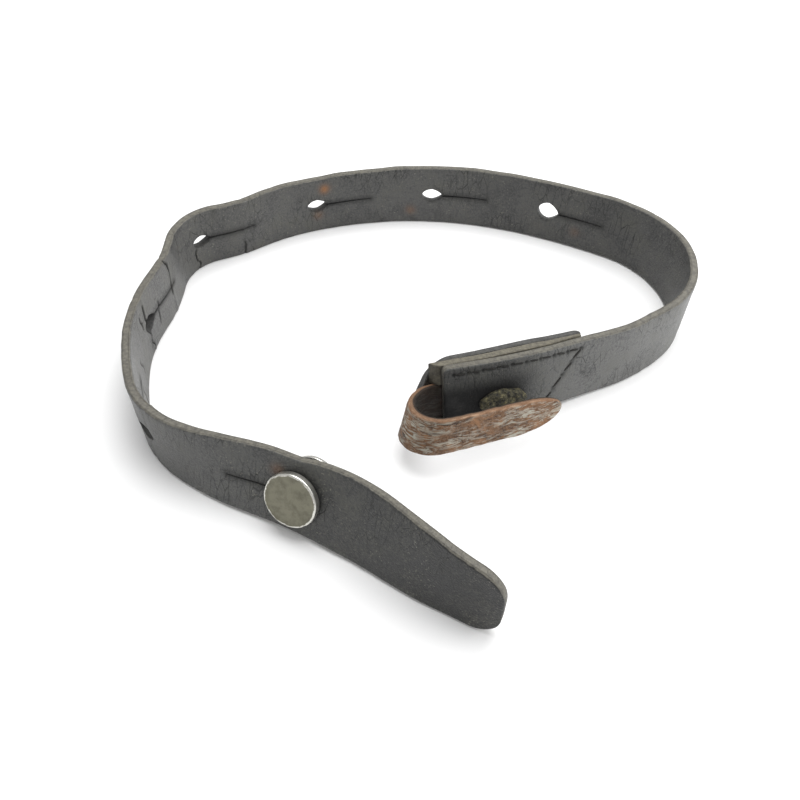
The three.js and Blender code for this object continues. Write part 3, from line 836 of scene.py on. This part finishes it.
back_profile = np.concatenate([
    np.stack([np.linspace(0, back_r - 1.7 * mm, 12), np.full(12, back_outer + 0.45 * mm)], axis=-1),
    [(back_r - 1.2 * mm, back_outer + 0.25 * mm), (back_r - 0.9 * mm, back_outer + 0.05 * mm)],
    arc_profile((back_r - 0.5 * mm, back_outer + 0.5 * mm), 0.5 * mm, -90, 0),
    arc_profile((back_r - 0.4 * mm, back_inner - 0.4 * mm), 0.4 * mm, 0, 90),
    [(pin_radius, back_inner), (pin_radius, plate_top - 0.2 * mm), (0, plate_top - 0.2 * mm)]])


def knocked(turn, radius, offset):
    """Small dents on the rim and a faint unevenness on the face."""
    rim = ease(radius, 5.8 * mm, 7.4 * mm)
    face = lumps(radius * np.cos(turn), radius * np.sin(turn), 2.4 * mm, 14)
    bites = np.clip(lumps(turn * 3.2, 0 * turn, 0.5, 15) - 0.45, 0, 1)
    return -0.035 * bites * rim, (0.035 * face - 0.12 * bites * rim) * mm * (offset > plate_top)


def stud_piece(name, profile, closed, body, node, slot, rough=None):
    """One turned piece on the stud's axis, with an attribute that grows from the axis to the rim."""
    grid = turned(profile, hole_stations[-1], strap_width / 2, strap_thickness / 2, 96, rough=rough)
    share = np.repeat(np.asarray(profile)[:, 0] / stud_radius, 96)
    high = np.repeat(np.asarray(profile)[:, 1] > face_height - 0.9 * mm, 96)
    return make_piece(name, grid, turned_faces(len(profile), 96, closed),
                      {"edge": share, "face": high.astype(float)}, body=body, replaces=[node], slot=slot)


stud_cap = stud_piece("stud_front_cap", cap_profile, False, "stud_front_body", "stud_cap", "worn_nickel",
                      knocked)
stud_base = stud_piece("stud_front_plate", base_profile, True, "stud_front_body", "stud_base", "stud_steel")
stud_back = stud_piece("stud_rear_head", back_profile, False, "stud_back_body", "stud_back", "stud_steel")

# %% [markdown]
# ## Shader helpers
# A node tree is easier to read as nested calls. Each call makes one node, and a value that is itself
# a socket becomes a link.

# %% Node helpers
def fill_sockets(tree, node, inputs):
    """Sets each input, or links it where its value is itself a socket."""
    for key, value in inputs.items():
        if isinstance(value, bpy.types.NodeSocket):
            tree.links.new(value, node.inputs[key])
        else:
            node.inputs[key].default_value = value


def add(tree, kind, inputs=None, output=0, **settings):
    """One node: settings are its own fields, inputs its sockets. Returns one of its outputs."""
    node = tree.nodes.new("ShaderNode" + kind)
    for field, value in settings.items():
        setattr(node, field, value)
    fill_sockets(tree, node, inputs or {})
    return node.outputs[output]


def math_node(tree, operation, a, b=0.0, c=0.0):
    return add(tree, "Math", {0: a, 1: b, 2: c}, operation=operation)


def remap(tree, value, low, high, to_low=0.0, to_high=1.0):
    """Stretches low to high onto to_low to to_high, held at both ends."""
    return add(tree, "MapRange", {0: value, 1: low, 2: high, 3: to_low, 4: to_high}, clamp=True)


def blend_colour(tree, share, a, b):
    """Colour a where share is 0 and b where it is 1."""
    return add(tree, "Mix", {0: share, 6: a, 7: b}, output=2, data_type="RGBA")


def noise(tree, vector, scale, detail=4.0, roughness=0.55, distortion=0.0):
    return add(tree, "TexNoise", {"Vector": vector, "Scale": scale, "Detail": detail,
                                  "Roughness": roughness, "Distortion": distortion})


def stretched(tree, vector, scale):
    return add(tree, "Mapping", {"Vector": vector, "Scale": scale})


def rgb(red, green, blue):
    return (red, green, blue, 1.0)


# %% [markdown]
# ## Shared effects
# Leather grain, edge wear and specks of dust are used by more than one finish, and rust is kept apart
# too, so that the hook's finish stays short. Each is a node group, made once, with its own named
# inputs, so a material only sets amounts.

# %% A group with named sockets
def group(name, inputs, outputs):
    """An empty shader group, and its input and output nodes."""
    tree = bpy.data.node_groups.new(name, "ShaderNodeTree")
    for label, kind, value in inputs:
        socket = tree.interface.new_socket(label, in_out="INPUT", socket_type=kind)
        if value is not None:
            socket.default_value = value
    for label, kind in outputs:
        tree.interface.new_socket(label, in_out="OUTPUT", socket_type=kind)
    return tree, tree.nodes.new("NodeGroupInput"), tree.nodes.new("NodeGroupOutput")


def use(tree, made, inputs):
    """The group as a node in another tree, with its inputs set or linked."""
    node = tree.nodes.new("ShaderNodeGroup")
    node.node_tree = made
    fill_sockets(tree, node, inputs)
    return node.outputs


FLOAT, VECTOR, COLOUR = "NodeSocketFloat", "NodeSocketVector", "NodeSocketColor"

# %% Leather grain
def grain_group():
    """Cells of creased skin: the distance to a cell's edge, and finer pores over it."""
    tree, given, result = group(
        "leather_grain", [("Vector", VECTOR, None), ("Scale", FLOAT, 900.0), ("Cracks", FLOAT, 0.5)],
        [("Height", FLOAT), ("Crack", FLOAT)])
    vector = given.outputs["Vector"]
    warp = add(tree, "TexNoise", {"Vector": vector, "Scale": 300.0, "Detail": 3.0}, output=1)
    shove = add(tree, "VectorMath", {0: warp, 3: 0.0008}, operation="SCALE")
    bent = add(tree, "VectorMath", {0: vector, 1: shove}, operation="ADD")
    cells = add(tree, "TexVoronoi", {"Vector": bent, "Scale": given.outputs["Scale"]},
                feature="DISTANCE_TO_EDGE")
    creased = remap(tree, cells, 0.0, 0.16)
    pores = noise(tree, vector, 2600.0, 3.0)
    drawn_out = stretched(tree, bent, (1.0, 0.24, 1.0))
    long_cracks = add(tree, "TexVoronoi", {"Vector": drawn_out, "Scale": 520.0},
                      feature="DISTANCE_TO_EDGE")
    crack = remap(tree, long_cracks, 0.0, 0.045, 1.0, 0.0)
    patch = remap(tree, noise(tree, vector, 60.0, 3.0), 0.42, 0.62)
    crack = math_node(tree, "MULTIPLY", math_node(tree, "MULTIPLY", crack, patch), given.outputs["Cracks"])
    height = math_node(tree, "ADD", math_node(tree, "MULTIPLY", creased, 0.45),
                       math_node(tree, "MULTIPLY", pores, 0.55))
    height = math_node(tree, "SUBTRACT", height, crack)
    tree.links.new(height, result.inputs["Height"])
    tree.links.new(crack, result.inputs["Crack"])
    return tree


# %% Edge wear
def wear_group():
    """A ragged mask along the edges: the edge attribute, broken up by noise."""
    tree, given, result = group(
        "edge_wear",
        [("Vector", VECTOR, None), ("Edge", FLOAT, 0.0), ("Spread", FLOAT, 0.5), ("Scale", FLOAT, 500.0)],
        [("Mask", FLOAT)])
    ragged = noise(tree, given.outputs["Vector"], given.outputs["Scale"], 5.0, 0.65)
    level = math_node(tree, "ADD", given.outputs["Edge"],
                      math_node(tree, "MULTIPLY_ADD", ragged, 1.1, -0.55))
    bar = math_node(tree, "SUBTRACT", 1.0, given.outputs["Spread"])
    mask = math_node(tree, "DIVIDE", math_node(tree, "SUBTRACT", level, bar), 0.22)
    tree.links.new(remap(tree, mask, 0.0, 1.0), result.inputs["Mask"])
    return tree


# %% Specks of dust
def speck_group():
    """Small pale grains where fine noise is highest, thinned out by a slow noise."""
    tree, given, result = group(
        "dust_specks", [("Vector", VECTOR, None), ("Scale", FLOAT, 1500.0), ("Amount", FLOAT, 0.5)],
        [("Mask", FLOAT)])
    fine = noise(tree, given.outputs["Vector"], given.outputs["Scale"], 2.0, 0.5)
    slow = remap(tree, noise(tree, given.outputs["Vector"], 90.0, 3.0), 0.35, 0.7)
    thinned = math_node(tree, "MULTIPLY", slow, given.outputs["Amount"])
    mask = math_node(tree, "MULTIPLY", remap(tree, fine, 0.62, 0.72), thinned)
    tree.links.new(mask, result.inputs["Mask"])
    return tree


# %% Rust
def rust_group():
    """Orange and brown blooms with a rough height, mixed by noise at two sizes."""
    tree, given, result = group(
        "rust", [("Vector", VECTOR, None), ("Scale", FLOAT, 200.0)],
        [("Color", COLOUR), ("Height", FLOAT)])
    broad = noise(tree, given.outputs["Vector"], given.outputs["Scale"], 6.0, 0.65, 0.6)
    fine = noise(tree, given.outputs["Vector"], 1900.0, 4.0, 0.7)
    dark = blend_colour(tree, remap(tree, broad, 0.38, 0.6),
                        rgb(0.040, 0.022, 0.015), rgb(0.17, 0.085, 0.042))
    bright = blend_colour(tree, remap(tree, broad, 0.55, 0.7), dark, rgb(0.33, 0.165, 0.075))
    colour = blend_colour(tree, remap(tree, fine, 0.4, 0.72), bright, rgb(0.27, 0.155, 0.085))
    height = math_node(tree, "ADD", math_node(tree, "MULTIPLY", broad, 0.6),
                       math_node(tree, "MULTIPLY", fine, 0.5))
    tree.links.new(colour, result.inputs["Color"])
    tree.links.new(height, result.inputs["Height"])
    return tree


grain, wear, specks, rust = grain_group(), wear_group(), speck_group(), rust_group()
print("shared effects:", [made.name for made in (grain, wear, specks, rust)])

# %% [markdown]
# ## Finishes
# Each material is one Principled shader. Its base colour, roughness and bump come from the groups,
# and what is the same all over, such as specular level, is set on the shader itself.

# %% Start and end a material
def start_material(name):
    """A new material, its tree, its shader and its object coordinates."""
    material = bpy.data.materials.new(name)
    material.use_nodes = True
    tree = material.node_tree
    shader = tree.nodes["Principled BSDF"]
    return material, tree, shader, add(tree, "TexCoord", output="Object")


def attribute(tree, name, output="Fac"):
    return add(tree, "Attribute", attribute_name=name, attribute_type="GEOMETRY", output=output)


def finish_shader(tree, shader, colour, roughness, height=None, depth=0.0001, strength=1.0, metallic=None):
    """Links what changes over the surface into the shader."""
    tree.links.new(colour, shader.inputs["Base Color"])
    tree.links.new(roughness, shader.inputs["Roughness"])
    if metallic is not None:
        tree.links.new(metallic, shader.inputs["Metallic"])
    if height is not None:
        bump = add(tree, "Bump", {"Height": height, "Distance": depth, "Strength": strength})
        tree.links.new(bump, shader.inputs["Normal"])


# %% Old strap leather
def leather_material(name, face, inner_face, worn, cracks, spread, toned=False):
    """Face colour outside, another inside, mottled, cracked, specked, worn pale at the edges, and darkened
    by dirt and by painted shade where a piece carries them. A toned leather also reads its tone, which is
    partly wear and partly painted sheen and shade, and its stains."""
    material, tree, shader, place_at = start_material(name)
    lie = attribute(tree, "lie", "Vector")
    edge = attribute(tree, "edge")
    inside = remap(tree, add(tree, "SeparateXYZ", {0: lie}, output=2), -0.2, 0.2, 1.0, 0.0)
    skin = use(tree, grain, {"Vector": lie, "Scale": 900.0, "Cracks": cracks})
    cloudy = noise(tree, place_at, 110.0, 6.0, 0.62)
    colour = blend_colour(tree, inside, face, inner_face)
    if toned:
        colour = blend_colour(tree, attribute(tree, "tone"), rgb(0, 0, 0), colour)
    mottle = math_node(tree, "MULTIPLY_ADD", noise(tree, place_at, 1300.0, 3.0, 0.7), 0.5,
                       math_node(tree, "MULTIPLY", cloudy, 0.5))
    lighter = blend_colour(tree, remap(tree, mottle, 0.48, 0.64, 0.0, 0.55),
                           colour, rgb(0.100, 0.099, 0.082))
    darker = blend_colour(tree, remap(tree, mottle, 0.38, 0.5, 0.6, 0.0),
                          lighter, rgb(0.012, 0.012, 0.012))
    cracked = blend_colour(tree, skin["Crack"], darker, rgb(0.006, 0.006, 0.005))
    dust = use(tree, specks, {"Vector": place_at, "Scale": 1700.0, "Amount": 0.8})
    dusty = blend_colour(tree, dust["Mask"], cracked, rgb(0.24, 0.23, 0.19))
    rubbed = use(tree, wear, {"Vector": place_at, "Edge": edge, "Spread": spread, "Scale": 420.0})
    tan = blend_colour(tree, remap(tree, noise(tree, place_at, 900.0, 5.0, 0.7), 0.4, 0.64),
                       worn, rgb(worn[0] * 0.5, worn[1] * 0.5, worn[2] * 0.52))
    colour = blend_colour(tree, math_node(tree, "MULTIPLY", rubbed["Mask"], 0.9), dusty, tan)
    # dirt, and painted shade in the hook's mouth, both mixed towards near black
    dirt_and_painted_shade = math_node(tree, "MULTIPLY", attribute(tree, "dirt_and_shade"), remap(tree, cloudy, 0.25, 0.5, 0.8, 1.0))
    colour = blend_colour(tree, dirt_and_painted_shade, colour, rgb(0.002, 0.002, 0.002))
    if toned:
        colour = blend_colour(tree, attribute(tree, "stain"), colour, rgb(0.24, 0.105, 0.035))
    roughness = remap(tree, cloudy, 0.3, 0.7, 0.36, 0.58)
    rough = math_node(tree, "ADD", roughness, math_node(tree, "MULTIPLY", rubbed["Mask"], 0.16))
    rough = math_node(tree, "ADD", rough, math_node(tree, "MULTIPLY", dirt_and_painted_shade, 0.4))
    shader.inputs["Specular IOR Level"].default_value = 0.5
    finish_shader(tree, shader, colour, rough, skin["Height"], 0.00016, 0.8)
    return material


strap_finish = leather_material(
    "bridle_leather", rgb(0.160, 0.161, 0.156), rgb(0.160, 0.159, 0.154), rgb(0.160, 0.150, 0.122),
    0.9, 0.42, toned=True)
filler_finish = leather_material(
    "raw_ply_leather", rgb(0.07, 0.065, 0.05), rgb(0.07, 0.065, 0.05), rgb(0.17, 0.155, 0.115), 0.4, 0.8)
lining_finish = leather_material(
    "lining_leather", rgb(0.035, 0.035, 0.034), rgb(0.008, 0.008, 0.007), rgb(0.085, 0.083, 0.078), 0.6, 0.3)
strap.data.materials.append(strap_finish)
filler.data.materials.append(filler_finish)
lining.data.materials.append(lining_finish)
print("leather finishes set")

# %% Rusty steel
def hook_material():
    """Rust with scraped grey streaks and dark grooves that run along the strip, an orange rim, and painted
    shade: the inside of the J, facing the mouth, is painted near black.
    """
    material, tree, shader, place_at = start_material("rusty_hook_steel")
    lie = attribute(tree, "lie", "Vector")
    edge = attribute(tree, "edge")
    crust = use(tree, rust, {"Vector": place_at, "Scale": 210.0})
    streak = noise(tree, stretched(tree, lie, (0.26, 1.0, 1.0)), 900.0, 6.0, 0.68, 1.2)
    groove = noise(tree, stretched(tree, lie, (0.2, 1.0, 1.0)), 520.0, 5.0, 0.65, 1.0)
    patch = remap(tree, noise(tree, stretched(tree, lie, (0.5, 1.0, 1.0)), 190.0, 3.0), 0.36, 0.58)
    scraped = math_node(tree, "MULTIPLY", remap(tree, streak, 0.47, 0.58, 0.0, 0.95), patch)
    colour = blend_colour(tree, scraped, crust["Color"], rgb(0.46, 0.44, 0.37))
    colour = blend_colour(tree, remap(tree, groove, 0.34, 0.42, 0.8, 0.0), colour, rgb(0.03, 0.018, 0.014))
    rim = blend_colour(tree, remap(tree, streak, 0.4, 0.62), rgb(0.17, 0.09, 0.05), rgb(0.32, 0.18, 0.095))
    colour = blend_colour(tree, remap(tree, edge, 0.25, 0.8, 0.0, 0.8), colour, rim)
    # painted shade: the inside of the J, in the shadow of the mouth, goes near black
    painted_shade_inside = remap(tree, add(tree, "SeparateXYZ", {0: lie}, output=2), -0.9, -0.2, 0.93, 0.0)
    colour = blend_colour(tree, painted_shade_inside, colour, rgb(0.010, 0.007, 0.005))
    height = math_node(tree, "ADD", crust["Height"], math_node(tree, "MULTIPLY", groove, 0.9))
    metallic = math_node(tree, "MULTIPLY", scraped, 0.3)
    finish_shader(tree, shader, colour, remap(tree, streak, 0.45, 0.68, 0.86, 0.5), height,
                  0.00035, 0.9, metallic)
    return material


hook.data.materials.append(hook_material())

# %% Corroded rivet
def rivet_material():
    """Near-black crust with olive and yellow grains where the noise is highest."""
    material, tree, shader, place_at = start_material("crusted_rivet")
    crust = noise(tree, place_at, 800.0, 5.0, 0.7)
    grains = add(tree, "TexVoronoi", {"Vector": place_at, "Scale": 1500.0})
    colour = blend_colour(tree, remap(tree, crust, 0.4, 0.62),
                          rgb(0.012, 0.011, 0.008), rgb(0.085, 0.075, 0.035))
    yellow = blend_colour(tree, remap(tree, crust, 0.58, 0.7, 0.0, 0.8), colour, rgb(0.26, 0.22, 0.10))
    height = math_node(tree, "SUBTRACT", crust, math_node(tree, "MULTIPLY", grains, 0.6))
    finish_shader(tree, shader, yellow, remap(tree, crust, 0.3, 0.7, 0.9, 0.55), height, 0.0004, 1.0)
    return material


crusted_rivet = rivet_material()
for piece in (head, shaft, burr):
    piece.data.materials.append(crusted_rivet)

# %% Waxed thread
def thread_material():
    """Dark waxed linen, its twist shown by fine noise."""
    material, tree, shader, place_at = start_material("waxed_linen_thread")
    fluff = noise(tree, place_at, 2200.0, 3.0, 0.6)
    colour = blend_colour(tree, remap(tree, fluff, 0.4, 0.7),
                          rgb(0.007, 0.007, 0.006), rgb(0.035, 0.032, 0.028))
    finish_shader(tree, shader, colour, remap(tree, fluff, 0.3, 0.7, 0.7, 0.9), fluff, 0.00015, 0.8)
    return material


stitching.data.materials.append(thread_material())

# %% Worn nickel and steel
def stud_material(name, face, stain, rim, bright, low):
    """Dull plating on the face, stained by noise, and rubbed to bright metal towards the rim."""
    material, tree, shader, place_at = start_material(name)
    edge = attribute(tree, "edge")
    stains = noise(tree, place_at, 420.0, 6.0, 0.65)
    scratches = noise(tree, stretched(tree, place_at, (1.0, 0.08, 1.0)), 2400.0, 2.0)
    colour = blend_colour(tree, remap(tree, stains, 0.42, 0.64), face, stain)
    rubbed = use(tree, wear, {
        "Vector": place_at, "Edge": remap(tree, edge, low, 1.0), "Spread": 0.55, "Scale": 900.0})
    colour = blend_colour(tree, math_node(tree, "MULTIPLY", rubbed["Mask"], bright), colour, rim)
    roughness = math_node(tree, "SUBTRACT", remap(tree, stains, 0.3, 0.7, 0.42, 0.58),
                          math_node(tree, "MULTIPLY", rubbed["Mask"], 0.18))
    metallic = remap(tree, rubbed["Mask"], 0.0, 1.0, 0.45, 0.95)
    finish_shader(tree, shader, colour, roughness, math_node(tree, "ADD", stains, scratches),
                  0.00005, 0.6, metallic)
    return material


stud_cap.data.materials.append(stud_material(
    "worn_nickel_cap", rgb(0.20, 0.192, 0.140), rgb(0.145, 0.138, 0.10), rgb(0.72, 0.71, 0.66), 0.95, 0.86))
plain_steel = stud_material(
    "stud_steel", rgb(0.45, 0.44, 0.40), rgb(0.30, 0.29, 0.26), rgb(0.75, 0.74, 0.70), 0.8, 0.7)
stud_base.data.materials.append(plain_steel)
stud_back.data.materials.append(plain_steel)
print("metal and thread finishes set")

# %% [markdown]
# ## Floor, light and camera
# A catalogue picture has a pale floor, a wide soft light overhead and a weak one from the side, so
# the shadows are faint and the leather keeps a gentle sheen. The camera looks down at the loop.

# %% The floor
floor_mesh = bpy.data.meshes.new("floor")
reach = 3.0
floor_corners = [(-reach, -reach, 0), (reach, -reach, 0), (reach, reach, 0), (-reach, reach, 0)]
floor_mesh.from_pydata(floor_corners, [], [(0, 1, 2, 3)])
floor = bpy.data.objects.new("floor", floor_mesh)
bpy.context.scene.collection.objects.link(floor)
floor_material, _, floor_shader, _ = start_material("pale_floor")
floor_shader.inputs["Base Color"].default_value = rgb(0.93, 0.93, 0.93)
floor_shader.inputs["Roughness"].default_value = 0.9
floor_shader.inputs["Specular IOR Level"].default_value = 0.1
floor.data.materials.append(floor_material)


# %% Lights
def soft_light(name, spot, size, power):
    """A square area light that faces the middle of the floor."""
    lamp = bpy.data.lights.new(name, "AREA")
    lamp.size, lamp.energy = size, power
    holder = bpy.data.objects.new(name, lamp)
    holder.location = spot
    tip_over = math.acos(spot[2] / np.linalg.norm(spot))
    holder.rotation_euler = (tip_over, 0, math.atan2(spot[1], spot[0]) + math.pi / 2)
    bpy.context.scene.collection.objects.link(holder)


soft_light("overhead", (0.10, 0.22, 0.75), 0.7, 7.0)
soft_light("right", (0.60, -0.05, 0.35), 0.4, 1.8)
world = bpy.data.worlds.new("studio")
world.use_nodes = True
world.node_tree.nodes["Background"].inputs["Color"].default_value = rgb(1, 1, 1)
world.node_tree.nodes["Background"].inputs["Strength"].default_value = 0.55
bpy.context.scene.world = world
bpy.context.scene.view_settings.view_transform = "Standard"

# %% Camera
look_at = np.array([-6.5, -9.0, 0]) * mm
view_distance, view_height, view_roll = 250.8 * mm, math.radians(48.7), math.radians(0.6)
camera_data = bpy.data.cameras.new("camera")
camera_data.lens, camera_data.sensor_width = 36.8, 36.0
camera = bpy.data.objects.new("camera", camera_data)
back_and_up = np.array([0, -math.cos(view_height), math.sin(view_height)])
camera.location = look_at + view_distance * back_and_up
tilt = Matrix.Rotation(math.pi / 2 - view_height, 3, "X") @ Matrix.Rotation(view_roll, 3, "Z")
camera.rotation_euler = tilt.to_euler()
bpy.context.scene.collection.objects.link(camera)
bpy.context.scene.camera = camera
print("camera at", np.round(np.array(camera.location) / mm), "mm")
